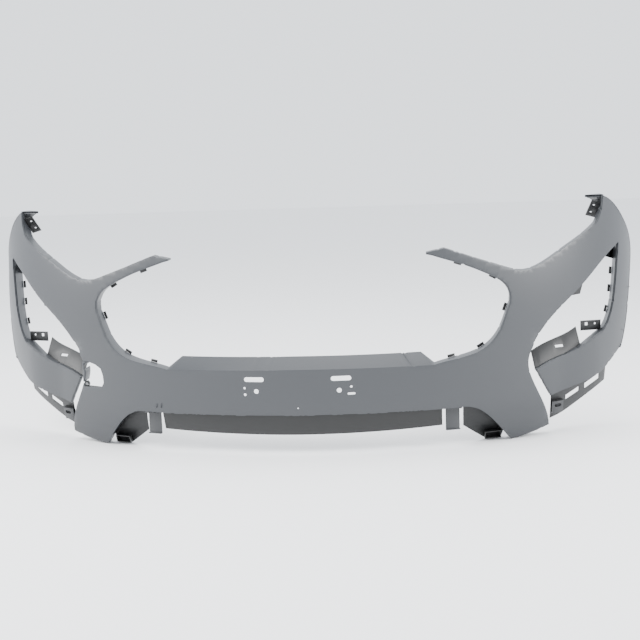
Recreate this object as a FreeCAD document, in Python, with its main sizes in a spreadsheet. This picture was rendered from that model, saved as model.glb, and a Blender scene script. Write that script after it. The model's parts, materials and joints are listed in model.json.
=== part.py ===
import FreeCAD, Part
import math
import os
import Sketcher

# Front bumper cover of a compact sports utility car, in millimetres.
# X runs across the car (+X is the car's left), Y runs rearwards, Z runs up.
# The cover faces -Y.  The origin is the middle of the bounding box, at its lowest level.

V = FreeCAD.Vector
os.makedirs("parts", exist_ok=True)
doc = FreeCAD.newDocument("bumper_cover")

# ---------------------------------------------------------------- driving sizes
SIZES = {
    "half_width": 875.0,
    "depth": 496.0,
    "height": 600.0,
    "wall": 3.0,
    "clearance": 0.3,
    "top_lean": 46.0,
    "bottom_tuck": 44.0,
    "panel_recess": 20.0,
    "edge_return": 34.0,
    "grille_extra": 18.0,
    "shelf_depth": 48.0,
    "shelf_rise": 26.0,
    "bracket_wall": 2.5,
    "plate_hole_spacing": 201.0,
    "plate_hole_radius": 6.0,
    "plate_slot_length": 49.0,
    "plate_slot_height": 12.0,
    "lip_height": 54.0,
    "lip_rake": 24.0,
    "lip_setback": 8.0,
    "lip_leg": 16.0,
    "lip_half_length": 346.0,
    "lip_bracket_width": 36.0,
    "lip_bracket_height": 58.0,
    "lip_bracket_leg": 22.0,
    "corner_box_width": 42.0,
    "corner_box_height": 21.0,
    "corner_box_depth": 22.0,
    "wing_plate_width": 26.0,
    "wing_plate_length": 56.0,
    "wing_hole_radius": 3.0,
    "wing_hole_pitch": 26.0,
    "lamp_plate_width": 56.0,
    "lamp_plate_height": 26.0,
    "lamp_plate_pitch": 24.0,
    "lamp_hole_radius": 2.75,
    "lamp_hole_square": 8.0,
    "shelf_panel_depth": 26.0,
    "shelf_panel_rise": 44.0,
    "shelf_slot_length": 26.0,
    "carrier_lean": 0.15,
    "side_mount_width": 30.0,
    "side_mount_height": 34.0,
    "side_mount_depth": 16.0,
    "tow_hole_width": 60.0,
    "tow_hole_height": 64.0,
    "tow_bar": 6.0,
    "tow_frame_depth": 14.0,
    "tow_boss_radius": 4.5,
    "clip_length": 20.0,
    "clip_reach": 7.0,
    "clip_thickness": 1.6,
    "rivet_head_radius": 4.5,
    "rivet_head_height": 2.2,
    "rivet_pin_radius": 2.5,
    "rivet_pin_length": 12.0,
}
sheet = doc.addObject("Spreadsheet::Sheet", "sizes")
for row, (alias, value) in enumerate(SIZES.items(), start=1):
    sheet.set(f"A{row}", alias)
    sheet.set(f"B{row}", str(value))
    sheet.setAlias(f"B{row}", alias)
doc.recompute()


def size(alias):
    """One driving size from the sheet."""
    return float(sheet.get(alias))


# The styling points below are millimetres on a cover of these nominal sizes,
# and they stretch with the driving half width, depth and height.
NOMINAL_HALF_WIDTH = 875.0
NOMINAL_DEPTH = 496.0
NOMINAL_HEIGHT = 600.0
STRETCH_X = size("half_width") / NOMINAL_HALF_WIDTH
STRETCH_Y = size("depth") / NOMINAL_DEPTH
STRETCH_Z = size("height") / NOMINAL_HEIGHT

# Plan of the outer skin: one quarter of a superellipse.
PLAN_HALF = 884.0 * STRETCH_X
PLAN_SWEEP = 562.0 * STRETCH_Y
PLAN_POWER = 1.87
LEAN_START = 240.0 * STRETCH_Z
TUCK_START = 140.0 * STRETCH_Z
TOP = size("height")
TOP_LEAN = size("top_lean")
BOTTOM_TUCK = size("bottom_tuck")
PANEL_RECESS = size("panel_recess")
EDGE_RETURN = size("edge_return")
GRILLE_EXTRA = size("grille_extra")
WALL = size("wall")
GAP = size("clearance")
FRAME_SHIFT = V(0, -size("depth") / 2, -4.0 * STRETCH_Z)
FAR = 3 * size("depth")
COVER_END = 880.0


# ---------------------------------------------------------------- outer surface
def plan_y(x):
    """Sweep of the skin behind its foremost point, at a distance x from the middle."""
    share = min(abs(x) / PLAN_HALF, 0.99999)
    return PLAN_SWEEP * (1 - (1 - share**PLAN_POWER) ** (1 / PLAN_POWER))


def rake_y(z):
    """How far the skin leans back above its nose and tucks under below it."""
    top = max(0.0, (z - LEAN_START) / (TOP - LEAN_START))
    low = max(0.0, (TUCK_START - z) / TUCK_START)
    return TOP_LEAN * top**2 + BOTTOM_TUCK * low**2


def skin_y(x, z):
    """Y of the outer surface."""
    return plan_y(x) + rake_y(z)


def plan_normal(x):
    """Unit vector in plan that points from the outer surface into the car."""
    step = 0.5
    slope = (plan_y(abs(x) + step) - plan_y(max(abs(x) - step, 0))) / (2 * step)
    length = math.hypot(slope, 1)
    side = 1 if x >= 0 else -1
    return V(-side * slope / length, 1 / length, 0)


def on_skin(x, z, depth=0.0):
    """Point at a depth behind the outer surface, measured square to its plan."""
    return V(x, skin_y(x, z), z) + plan_normal(x) * depth


def turn_at(x):
    """Rotation about Z that lays a flat piece along the skin at x."""
    inward = plan_normal(x)
    return FreeCAD.Rotation(V(0, 0, 1), math.degrees(math.atan2(-inward.x, inward.y)))


def styled(points):
    """Nominal styling points (x, z) stretched to the driving sizes."""
    return [(x * STRETCH_X, z * STRETCH_Z) for x, z in points]


# ---------------------------------------------------------------- small shape tools
def steps(first, last, count):
    """Evenly spaced values from first to last."""
    return [first + (last - first) * k / (count - 1) for k in range(count)]


def fade(value, start, end):
    """Smooth rise from 0 at start to 1 at end."""
    share = min(1.0, max(0.0, (value - start) / (end - start)))
    return share * share * (3 - 2 * share)


def spline(points, marks=None):
    """Smooth edge through 3-D points, at given parameters when there are marks."""
    curve = Part.BSplineCurve()
    if marks:
        curve.interpolate(Points=points, Parameters=marks)
    else:
        curve.interpolate(points)
    return curve.toShape()


def chord_marks(points):
    """Spline parameters from 0 to 1 that follow the distances between points."""
    marks = [0.0]
    for near, far in zip(points, points[1:]):
        marks.append(marks[-1] + (far - near).Length)
    return [mark / marks[-1] for mark in marks]


def loft(rings):
    """Closed solid through rings of corner points."""
    wires = [Part.makePolygon(ring + ring[:1]) for ring in rings]
    return Part.makeLoft(wires, True, False)


def slab(levels, spots_at, near_point, far_point):
    """Closed solid between two surfaces, each given as a function of (x, z).

    spots_at(z) gives the stations across at a level, always the same number of them.
    """
    middle = levels[len(levels) // 3]
    marks = chord_marks([near_point(x, middle) for x in spots_at(middle)])
    wires = []
    for z in levels:
        front = [near_point(x, z) for x in spots_at(z)]
        back = [far_point(x, z) for x in spots_at(z)]
        start = Part.makeLine(front[0], back[0])
        end = Part.makeLine(front[-1], back[-1])
        wires.append(Part.Wire([spline(front, marks), end, spline(back, marks), start]))
    return Part.makeLoft(wires, True, False)


def patch(x_range, z_range, face, near, far):
    """Slab between two distances straight behind a face, which gives Y at (x, z)."""
    spots = steps(x_range[0] * STRETCH_X, x_range[1] * STRETCH_X, 8)
    return slab(
        steps(z_range[0] * STRETCH_Z, z_range[1] * STRETCH_Z, 6),
        lambda z: spots,
        lambda x, z: V(x, face(x, z) + near, z),
        lambda x, z: V(x, face(x, z) + far, z),
    )


def outline_face(stretches):
    """Face with a closed (x, z) outline, in front of the cover.

    Each stretch is a list of points: two make a straight line, more make a smooth curve.
    """
    edges = []
    for stretch in stretches:
        points = [V(x, -FAR / 2, z) for x, z in stretch]
        edges.append(spline(points) if len(points) > 2 else Part.makeLine(*points))
    return Part.Face(Part.Wire(edges))


def polygon(corners):
    """Closed outline of straight lines through nominal (x, z) corners."""
    points = styled(corners)
    return [[points[k], points[(k + 1) % len(points)]] for k in range(len(points))]


def prism(stretches):
    """Solid with a closed (x, z) outline, running right through along Y."""
    return outline_face(stretches).extrude(V(0, FAR, 0))


def inset_prism(stretches, inset):
    """Solid inside a closed (x, z) outline, everywhere one inset away from it."""
    shrunk = outline_face(stretches).makeOffset2D(-inset, 0, False, False).Faces[0]
    edges = []
    for edge in shrunk.OuterWire.OrderedEdges:
        if edge.Curve.TypeId == "Part::GeomLine":
            edges.append(Part.makeLine(edge.Vertexes[0].Point, edge.Vertexes[-1].Point))
        else:
            edges.append(spline(edge.discretize(Number=max(6, int(edge.Length / 25) + 4))))
    wire = Part.Wire(Part.__sortEdges__(edges))
    return Part.Face(wire).extrude(V(0, FAR, 0))


def side_prism(stretches):
    """Solid with a closed (y, z) outline, running right through along X."""
    edges = []
    for stretch in stretches:
        points = [V(-FAR, y * STRETCH_Y, z * STRETCH_Z) for y, z in stretch]
        edges.append(spline(points) if len(points) > 2 else Part.makeLine(*points))
    return Part.Face(Part.Wire(edges)).extrude(V(2 * FAR, 0, 0))


# ---------------------------------------------------------------- styling lines
CENTRE_TOP = 220.0
CENTRE_LOW = 107.0
SHELF_END = 302.0
NOTCH = (329, 218)
GRILLE_LOW = [NOTCH, (400, 232), (452, 250), (486, 284), (508, 335)]
GRILLE_EDGE = GRILLE_LOW + [(517, 370), (506, 399), (470, 425), (400, 456), (330, 480)]
ARM_END = [(330, 480), (314, 484)]
ARM_NOSE = [(314, 488), (357, 496)]
TOP_EDGE = [(357, 496), (430, 469), (500, 444), (553, 431), (600, 444), (660, 477), (714, 507), (750, 532)]
WING_EDGE = [(750, 532), (765, 560), (772, 606)]
STRIP_EDGE = [(766, 254), (793, 305), (805, 364), (812, 420), (818, 474)]
LAMP_EDGE = [(818, 474), (770, 438), (716, 388), (650, 334), (600, 284), (573, 238)]
BLADE = [(573, 238), (563, 190), (576, 150), (600, 97), (618, 31)]
LOBE_LOW = [(618, 31), (580, 18), (518, 4)]
ARCH = [(518, 4), (500, 30), (476, 62), (440, 96), (387, CENTRE_LOW)]
CREASE = [(583, 177), (640, 200), (690, 215), (730, 236), (766, 254)]
PANEL_LOW = [(768, 151), (710, 128), (660, 115), (622, 104)]
PANEL_INNER = [(622, 104), (583, 177)]
PANEL_END = [(768, 151), (801, 179), (828, 203), (880, 246)]
REAR_LOW = [(385, 199), (430, 290), (470, 390), (490, 430), (496, 455)]
REAR_EDGE = REAR_LOW + [(480, 492), (440, 536), (400, 577), (356, 604)]


def front_outline(middle=0.0):
    """Closed outline of the half cover seen from the front, from the middle outwards."""
    outside = COVER_END + 20
    top = NOMINAL_HEIGHT + 6
    return [
        styled(line)
        for line in (
            [(middle, CENTRE_TOP), NOTCH],
            GRILLE_EDGE,
            ARM_END,
            [(314, 484), (314, 488)],
            ARM_NOSE,
            TOP_EDGE,
            WING_EDGE,
            [(772, top), (outside, top)],
            [(outside, top), (outside, 246)],
            [(outside, 246), (880, 246)],
            PANEL_END[::-1],
            PANEL_LOW,
            PANEL_INNER,
            CREASE,
            STRIP_EDGE,
            LAMP_EDGE,
            BLADE,
            LOBE_LOW,
            ARCH,
            [(387, CENTRE_LOW), (middle, CENTRE_LOW)],
            [(middle, CENTRE_LOW), (middle, CENTRE_TOP)],
        )
    ]


def inside_rear_edge():
    """Everything in front of the wheel arch and wing edge."""
    front = -200
    return side_prism(
        [
            REAR_EDGE,
            [(356, 604), (356, 700)],
            [(356, 700), (front, 700)],
            [(front, 700), (front, -50)],
            [(front, -50), (385, -50)],
            [(385, -50), (385, 199)],
        ]
    )


# ---------------------------------------------------------------- the main moulding
def blade_x(z):
    """X of the blade's edge at a level, straight between its styling points."""
    points = sorted((level, x) for x, level in styled(BLADE))
    if z <= points[0][0]:
        return points[0][1]
    for (low, x_low), (high, x_high) in zip(points, points[1:]):
        if z <= high:
            return x_low + (x_high - x_low) * (z - low) / (high - low)
    return points[-1][1]


def panel_step(x, z):
    """How far the side panel is set back: full beside the blade, none at the wheel arch."""
    beside = fade(x, blade_x(z) + 1, blade_x(z) + 17)
    before_arch = fade(x, 760 * STRETCH_X, 650 * STRETCH_X)
    below_lamp = fade(z, 285 * STRETCH_Z, 225 * STRETCH_Z)
    return PANEL_RECESS * beside * before_arch * below_lamp


def return_depth(x, z):
    """Depth of the return flanges behind the skin, greatest below the grille opening."""
    across = (x / STRETCH_X - 450) / 100
    up = (z / STRETCH_Z - 300) / 110
    return EDGE_RETURN + GRILLE_EXTRA * math.exp(-(across**2) - up**2)


def rear_point(x, z, extra=0.0):
    """Point on the surface where the return flanges end, or further back by extra."""
    return on_skin(x, z, return_depth(x, z) + extra)


def rear_y(x, z):
    """Y at which a return flange ends at (x, z)."""
    low, high = x, x + 2 * EDGE_RETURN + GRILLE_EXTRA
    high = min(high, PLAN_HALF - 1)
    for _ in range(24):
        middle = (low + high) / 2
        if rear_point(middle, z).x < x:
            low = middle
        else:
            high = middle
    return rear_point(low, z).y


def stations(start):
    """Function that gives the skin's stations at a level, crowded at the blade and the bend."""
    turn_end = math.asin(min(0.99999, (COVER_END * STRETCH_X / PLAN_HALF) ** (PLAN_POWER / 2)))

    def spots_at(z):
        edge = blade_x(z)
        turn_start = math.asin(((edge + 30) / PLAN_HALF) ** (PLAN_POWER / 2))
        turns = steps(turn_start, turn_end, 11)
        inner = steps(start, edge - 14, 9)
        beside = [edge + step for step in (-7, -2, 3, 8, 13, 19)]
        return inner + beside + [PLAN_HALF * math.sin(turn) ** (2 / PLAN_POWER) for turn in turns]

    return spots_at


def hollow_half():
    """Half of the cover: a solid block behind the skin, hollowed out from the rear."""
    levels = steps(-20 * STRETCH_Z, TOP + 10, 22)
    block = slab(levels, stations(0), lambda x, z: on_skin(x, z, panel_step(x, z)), rear_point)
    core = slab(
        levels,
        stations(-30),
        lambda x, z: on_skin(x, z, panel_step(x, z) + WALL),
        lambda x, z: rear_point(x, z, 8),
    )
    rear = inside_rear_edge()
    inside_rear = rear.copy()
    inside_rear.translate(V(0, -WALL, 0))
    half = block.common(prism(front_outline())).common(rear)
    core = core.common(inset_prism(front_outline(-60), WALL)).common(inside_rear)
    return half.cut(core)


def centre_shelf():
    """Sloping shelf behind the centre's top edge, half of it."""
    rings = []
    rise = V(0, size("shelf_depth"), size("shelf_rise"))
    z = (CENTRE_TOP - 1) * STRETCH_Z
    for share in steps(0, 1, 8):
        front_x = share * (NOTCH[0] - 10) * STRETCH_X
        rear_x = share * SHELF_END * STRETCH_X
        front = V(front_x, skin_y(front_x, z) + WALL / 2, z)
        rear = V(rear_x, front.y, z) + rise
        down = V(0, 0, -WALL)
        rings.append([front, rear, rear + down, front + down])
    return loft(rings)


def hole_along_y(x, z, radius):
    """Round cutter through the front wall, its middle at (x, z)."""
    return Part.makeCylinder(radius, 60, V(x, -20, z), V(0, 1, 0))


def slot_along_y(x, z, length, height):
    """Cutter for a slot with round ends, lying along X."""
    reach = (length - height) / 2
    box = Part.makeBox(2 * reach, 60, height, V(x - reach, -20, z - height / 2))
    ends = [hole_along_y(x + side * reach, z, height / 2) for side in (-1, 1)]
    return box.fuse(ends)


def plate_holes():
    """Number plate holes: a slot, a screw hole and two small holes on each side."""
    level = STRETCH_Z
    reach = size("plate_hole_spacing") / 2
    cutters = [hole_along_y(0, 126 * level, 2.0)]
    for side in (-1, 1):
        cutters.append(hole_along_y(side * reach, 168 * level, size("plate_hole_radius")))
        cutters.append(
            slot_along_y(
                side * (reach + 5), 197 * level, size("plate_slot_length"), size("plate_slot_height")
            )
        )
        cutters.append(hole_along_y(side * (reach + 29), 176 * level, 3.0))
    cutters.append(hole_along_y(-reach - 28, 160 * level, 3.5))
    cutters.append(slot_along_y(reach + 29, 159 * level, 19.0, 6.0))
    return cutters


def tow_opening():
    """Cutter for the tow eye opening: straight at the blade, round at its inner side."""
    width = size("tow_hole_width")
    half = size("tow_hole_height") / 2
    centre = V(TOW_SPOT[0] * STRETCH_X, 0, TOW_SPOT[1] * STRETCH_Z)
    outer = -centre.x - width * 0.5
    inner = -centre.x + width * 0.5
    outline = [
        [(outer, centre.z - half), (outer, centre.z + half)],
        [(outer, centre.z + half), (outer + width * 0.35, centre.z + half)],
        [
            (outer + width * 0.35, centre.z + half),
            (inner - width * 0.12, centre.z + half * 0.55),
            (inner, centre.z - half * 0.55),
        ],
        [(inner, centre.z - half * 0.55), (inner - width * 0.12, centre.z - half)],
        [(inner - width * 0.12, centre.z - half), (outer, centre.z - half)],
    ]
    return prism(outline)


RIVET_SPOTS = [-290, -180, -75, 75, 180, 290]
RIVET_SETBACK = 20.0
TOW_SPOT = (537, 192)


def rivet_place(x):
    """Middle of a lip rivet, on the underside of the cover's lower flange."""
    spot = x * STRETCH_X
    low = CENTRE_LOW * STRETCH_Z
    return V(spot, skin_y(spot, low) + RIVET_SETBACK, low)


def rivet_hole(x):
    """Upright cutter for one rivet's pin."""
    radius = size("rivet_pin_radius") + GAP
    return Part.makeCylinder(radius, 30, rivet_place(x) - V(0, 0, 15))


def build_fascia():
    """The one-piece cover moulding, from its two halves, the shelf and the holes."""
    half = hollow_half().fuse(centre_shelf())
    whole = half.fuse(half.mirror(V(0, 0, 0), V(1, 0, 0)))
    cutters = plate_holes() + [tow_opening()] + [rivet_hole(x) for x in RIVET_SPOTS]
    whole = whole.cut(cutters)
    return max(whole.Solids, key=lambda one: one.Volume)


# ---------------------------------------------------------------- document helpers
def feature(name, shape):
    """Part::Feature with its shape first and the frame's placement after it."""
    made = doc.addObject("Part::Feature", name)
    made.Label = name
    made.Shape = shape
    made.Placement = FreeCAD.Placement(FRAME_SHIFT, FreeCAD.Rotation())
    return made


def mirrored(name, source):
    """The same piece on the car's right-hand side."""
    made = doc.addObject("Part::Mirroring", name)
    made.Label = name
    made.Source = source
    made.Normal = V(1, 0, 0)
    return made


def grouped(name, pieces):
    """One node that holds several identical fasteners as separate solids."""
    made = doc.addObject("Part::Compound", name)
    made.Label = name
    made.Links = pieces
    return made


def new_body(name):
    """PartDesign body whose label names its file."""
    body = doc.addObject("PartDesign::Body", name)
    body.Label = name
    return body


def sketch_on(body, name, role):
    """Sketch attached to one of the body's own origin planes."""
    sketch = body.newObject("Sketcher::SketchObject", name)
    plane = next(item for item in body.Origin.OriginFeatures if item.Role == role)
    sketch.AttachmentSupport = [(plane, "")]
    sketch.MapMode = "FlatFace"
    return sketch


def add_rectangle(sketch, width, height):
    """Rectangle centred on the sketch's origin, its sides bound to two sheet values."""
    half_w, half_h = size(width) / 2, size(height) / 2
    corners = [V(-half_w, -half_h), V(half_w, -half_h), V(half_w, half_h), V(-half_w, half_h)]
    for k in range(4):
        sketch.addGeometry(Part.LineSegment(corners[k], corners[(k + 1) % 4]), False)
    for k in range(4):
        sketch.addConstraint(Sketcher.Constraint("Coincident", k, 2, (k + 1) % 4, 1))
    for k in (0, 2):
        sketch.addConstraint(Sketcher.Constraint("Horizontal", k))
        sketch.addConstraint(Sketcher.Constraint("Vertical", k + 1))
    sketch.addConstraint(Sketcher.Constraint("Symmetric", 0, 1, 2, 1, -1, 1))
    for kind, edge, alias in (("DistanceX", 0, width), ("DistanceY", 1, height)):
        at = sketch.addConstraint(Sketcher.Constraint(kind, edge, 1, edge, 2, size(alias)))
        sketch.renameConstraint(at, alias)
        sketch.setExpression(f"Constraints.{alias}", f"sizes.{alias}")


def add_circle(sketch, x, y, radius):
    """Circle whose radius is bound to a sheet value."""
    at = sketch.addGeometry(Part.Circle(V(x, y), V(0, 0, 1), size(radius)), False)
    mark = sketch.addConstraint(Sketcher.Constraint("Radius", at, size(radius)))
    sketch.setExpression(f"Constraints[{mark}]", f"sizes.{radius}")


def pad(body, sketch, length):
    """Pad both ways from the sketch by a sheet value in all."""
    made = body.newObject("PartDesign::Pad", "Pad")
    made.Profile = sketch
    made.Midplane = True
    made.setExpression("Length", f"sizes.{length}")
    sketch.Visibility = False
    return made


def pocket(body, sketch):
    """Cut a sketch right through the body, both ways."""
    doc.recompute()
    before = body.Shape.Volume
    made = body.newObject("PartDesign::Pocket", "Pocket")
    made.Profile = sketch
    made.Type = "ThroughAll"
    made.Midplane = True
    doc.recompute()
    assert body.Shape.Volume < before, f"{body.Label}: the pocket cuts nothing"
    return made


def bound_box(name, length, width, height):
    """Part::Box with its three sizes bound to sheet values."""
    made = doc.addObject("Part::Box", name)
    made.setExpression("Length", f"sizes.{length}")
    made.setExpression("Width", f"sizes.{width}")
    made.setExpression("Height", f"sizes.{height}")
    return made


def bound_cylinder(name, radius, height):
    """Part::Cylinder with its radius and height bound to sheet values."""
    made = doc.addObject("Part::Cylinder", name)
    made.setExpression("Radius", f"sizes.{radius}")
    made.setExpression("Height", f"sizes.{height}")
    return made


def place(made, spot, rotation=None):
    """Put a piece at a point of the cover."""
    made.Placement = FreeCAD.Placement(spot + FRAME_SHIFT, rotation or FreeCAD.Rotation())
    return made


def clear_of_fascia(shape):
    """The largest solid that is left when the cover's own material is taken away."""
    left = shape.cut(FASCIA_SHAPE)
    return max(left.Solids, key=lambda one: one.Volume)


def trimmed(name, blank):
    """A blank with the cover's own material taken away."""
    made = doc.addObject("Part::Cut", name)
    made.Label = name
    made.Base = blank
    made.Tool = fascia
    return made


FASCIA_SHAPE = build_fascia()
fascia = feature("fascia", FASCIA_SHAPE)


# ---------------------------------------------------------------- lower lip
def lip_point(x, share, back=0.0):
    """Point on the lip's face: share 0 at its top, 1 at its lower edge."""
    end = x / (size("lip_half_length") * STRETCH_X)
    top = CENTRE_LOW * STRETCH_Z - GAP
    drop = size("lip_height") * (1 - 0.14 * end * end)
    base = skin_y(x, CENTRE_LOW * STRETCH_Z) + size("lip_setback")
    return V(x, base + size("lip_rake") * share + back, top - drop * share)


def build_lip():
    """Raw plastic strip under the middle of the cover: a leaning face and a top leg."""
    reach = size("lip_half_length") * STRETCH_X
    thick = size("bracket_wall")
    back = V(0, thick, 0)
    down = V(0, 0, -thick)
    leg = V(0, size("lip_leg"), 0)
    rings = []
    for x in steps(-reach, reach, 15):
        top, low = lip_point(x, 0), lip_point(x, 1)
        inner = lip_point(x, thick / size("lip_height")) + back
        inner.z = (top + down).z
        rings.append([top, low, low + back, inner, top + leg + down, top + leg])
    return loft(rings).cut([rivet_hole(x) for x in RIVET_SPOTS]).Solids[0]


lower_lip = feature("lower_lip", build_lip())


def lip_rivet(x):
    """Push rivet: a head under the lip's leg and a pin up through the cover's flange."""
    spot = rivet_place(x)
    head_top = spot.z - GAP - size("bracket_wall") - GAP
    head = bound_cylinder("rivet_head", "rivet_head_radius", "rivet_head_height")
    place(head, V(spot.x, spot.y, head_top - size("rivet_head_height")))
    pin = bound_cylinder("rivet_pin", "rivet_pin_radius", "rivet_pin_length")
    place(pin, V(spot.x, spot.y, head_top))
    rivet = doc.addObject("Part::MultiFuse", "lip_rivet")
    rivet.Shapes = [head, pin]
    return rivet


lip_rivets = grouped("lip_rivets", [lip_rivet(x) for x in RIVET_SPOTS])


# ---------------------------------------------------------------- lip end brackets
def lip_bracket(name):
    """Bracket at the lip's end: a leg under the flange, a hanging plate and a foot."""
    body = new_body(name)
    sketch = sketch_on(body, "profile", "YZ_Plane")
    wall = size("bracket_wall")
    drop = size("lip_bracket_height")
    leg = size("lip_bracket_leg")
    foot = 8.0
    outline = [
        V(-leg, 0), V(0, 0), V(0, -drop), V(-foot, -drop),
        V(-foot, -drop + wall), V(-wall, -drop + wall), V(-wall, -wall), V(-leg, -wall),
    ]
    count = len(outline)
    for k in range(count):
        sketch.addGeometry(Part.LineSegment(outline[k], outline[(k + 1) % count]), False)
    for k in range(count):
        sketch.addConstraint(Sketcher.Constraint("Coincident", k, 2, (k + 1) % count, 1))
    pad(body, sketch, "lip_bracket_width")
    x = 371 * STRETCH_X
    low = CENTRE_LOW * STRETCH_Z
    spot = V(x, skin_y(x, low) + leg + 4, low - GAP)
    return place(body, spot, turn_at(x))


lip_bracket_left = lip_bracket("lip_bracket_left")
lip_bracket_right = mirrored("lip_bracket_right", lip_bracket_left)


# ---------------------------------------------------------------- lobe corner pieces
def build_corner_wall():
    """Wall that closes the lobe's inner side behind its return flange."""
    near = 2 * GAP
    wall = patch((396, 506), (0, 112), rear_y, near, near + size("bracket_wall"))
    outline = [
        styled(line)
        for line in (
            [(398, 50), (398, 109)],
            [(398, 109), (442, 100), (480, 64), (504, 32)],
            [(504, 32), (496, 8)],
            [(496, 8), (452, 8)],
            [(452, 8), (398, 50)],
        )
    ]
    return clear_of_fascia(wall.common(prism(outline)))


def build_corner_box():
    """Small socket in front of the corner wall, open to the front."""
    wall = size("bracket_wall")
    rear = GAP
    front = rear - size("corner_box_depth")
    half = size("corner_box_width") / 2 / STRETCH_X
    low = 8.5
    high = low + size("corner_box_height") / STRETCH_Z
    middle = 473
    inset = wall / STRETCH_X
    outer = patch((middle - half, middle + half), (low, high), rear_y, front, rear)
    hollow = patch(
        (middle - half + inset, middle + half - inset),
        (low + wall, high - wall),
        rear_y,
        front - wall,
        rear - wall,
    )
    return clear_of_fascia(outer.cut(hollow))


corner_wall_left = feature("corner_wall_left", build_corner_wall())
corner_wall_right = mirrored("corner_wall_right", corner_wall_left)
corner_box_left = feature("corner_box_left", build_corner_box())
corner_box_right = mirrored("corner_box_right", corner_box_left)


# ---------------------------------------------------------------- wing bracket
def wing_bracket(name):
    """Sloping plate with two screw holes on the inboard side of the wing's return flange."""
    body = new_body(name + "_blank")
    outline = sketch_on(body, "outline", "XZ_Plane")
    add_rectangle(outline, "wing_plate_width", "wing_plate_length")
    pad(body, outline, "bracket_wall")
    holes = sketch_on(body, "holes", "XZ_Plane")
    half = size("wing_hole_pitch") / 2
    for z in (-half, half):
        add_circle(holes, -3.0, z, "wing_hole_radius")
    pocket(body, holes)
    z = 566 * STRETCH_Z
    edge = 767 * STRETCH_X
    spot = V(edge - size("wing_plate_width") / 2, skin_y(edge, z) + 36, z)
    lean = FreeCAD.Rotation(V(0, 1, 0), 16).multiply(FreeCAD.Rotation(V(1, 0, 0), 42))
    place(body, spot, lean)
    return trimmed(name, body)


wing_bracket_left = wing_bracket("wing_bracket_left")
wing_bracket_right = mirrored("wing_bracket_right", wing_bracket_left)


# ---------------------------------------------------------------- lamp opening pieces
def build_lamp_shelf():
    """Sloping shelf behind the side panel's top edge, with a slot through it."""
    thick = size("bracket_wall")
    crease = Part.BSplineCurve()
    crease.interpolate([V(x, 0, z) for x, z in styled(CREASE)])
    run = V(-8, size("shelf_panel_depth"), size("shelf_panel_rise"))
    down = V(0, thick, -thick * 0.6)

    def front_point(at):
        edge = crease.value(at)
        return V(edge.x, rear_y(edge.x, edge.z) + 2 * GAP, edge.z - WALL)

    rings = []
    end = crease.parameter(V(708 * STRETCH_X, 0, 224 * STRETCH_Z))
    for at in steps(crease.FirstParameter, end, 10):
        front = front_point(at)
        rings.append([front, front + run, front + run + down, front + down])
    middle = front_point(crease.parameter(V(655 * STRETCH_X, 0, 205 * STRETCH_Z))) + run * 0.5
    length = size("shelf_slot_length")
    slot = Part.makeBox(length, 90, 6, V(-length / 2, -45, -3))
    slot.Placement = FreeCAD.Placement(middle, turn_at(middle.x))
    return clear_of_fascia(loft(rings).cut(slot))


def lamp_plate(name):
    """Upright plate at the lamp opening's lower corner, with a round and a square hole."""
    body = new_body(name + "_blank")
    outline = sketch_on(body, "outline", "XZ_Plane")
    add_rectangle(outline, "lamp_plate_width", "lamp_plate_height")
    pad(body, outline, "bracket_wall")
    holes = sketch_on(body, "holes", "XZ_Plane")
    half = size("lamp_plate_pitch") / 2
    add_circle(holes, half, 4.0, "lamp_hole_radius")
    side = size("lamp_hole_square") / 2
    corners = [V(-half + x * side, 4 + z * side) for x, z in ((-1, -1), (1, -1), (1, 1), (-1, 1))]
    for k in range(4):
        holes.addGeometry(Part.LineSegment(corners[k], corners[(k + 1) % 4]), False)
    pocket(body, holes)
    z = 265 * STRETCH_Z
    seat = 769 * STRETCH_X
    spot = V(seat - size("lamp_plate_width") / 2 - 1, skin_y(seat, z) + 26, z)
    place(body, spot, FreeCAD.Rotation(V(0, 0, 1), 16))
    return trimmed(name, body)


def build_gusset(corners):
    """Flat web behind the lamp opening's return flange."""
    near = 2 * GAP
    xs = [x for x, _ in corners]
    zs = [z for _, z in corners]
    x_range = (min(xs) - 5, max(xs) + 5)
    web = patch(x_range, (min(zs) - 5, max(zs) + 5), rear_y, near, near + size("bracket_wall"))
    return clear_of_fascia(web.common(prism(polygon(corners))))


UPPER_GUSSET = [(822, 470), (814, 428), (778, 442)]
MID_GUSSET = [(722, 392), (709, 352), (664, 350)]
lamp_shelf_left = feature("lamp_shelf_left", build_lamp_shelf())
lamp_shelf_right = mirrored("lamp_shelf_right", lamp_shelf_left)
lamp_plate_left = lamp_plate("lamp_plate_left")
lamp_plate_right = mirrored("lamp_plate_right", lamp_plate_left)
upper_gusset_left = feature("upper_gusset_left", build_gusset(UPPER_GUSSET))
upper_gusset_right = mirrored("upper_gusset_right", upper_gusset_left)
mid_gusset_left = feature("mid_gusset_left", build_gusset(MID_GUSSET))
mid_gusset_right = mirrored("mid_gusset_right", mid_gusset_left)


# ---------------------------------------------------------------- wheel arch carrier
def carrier_point(x, z, extra=0.0):
    """Point on the carrier's front face, which leans back below the side panel."""
    lean = size("carrier_lean") * max(0.0, 150.0 * STRETCH_Z - z)
    return V(x, rear_y(x, z) + 2 * GAP + lean + extra, z)


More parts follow.
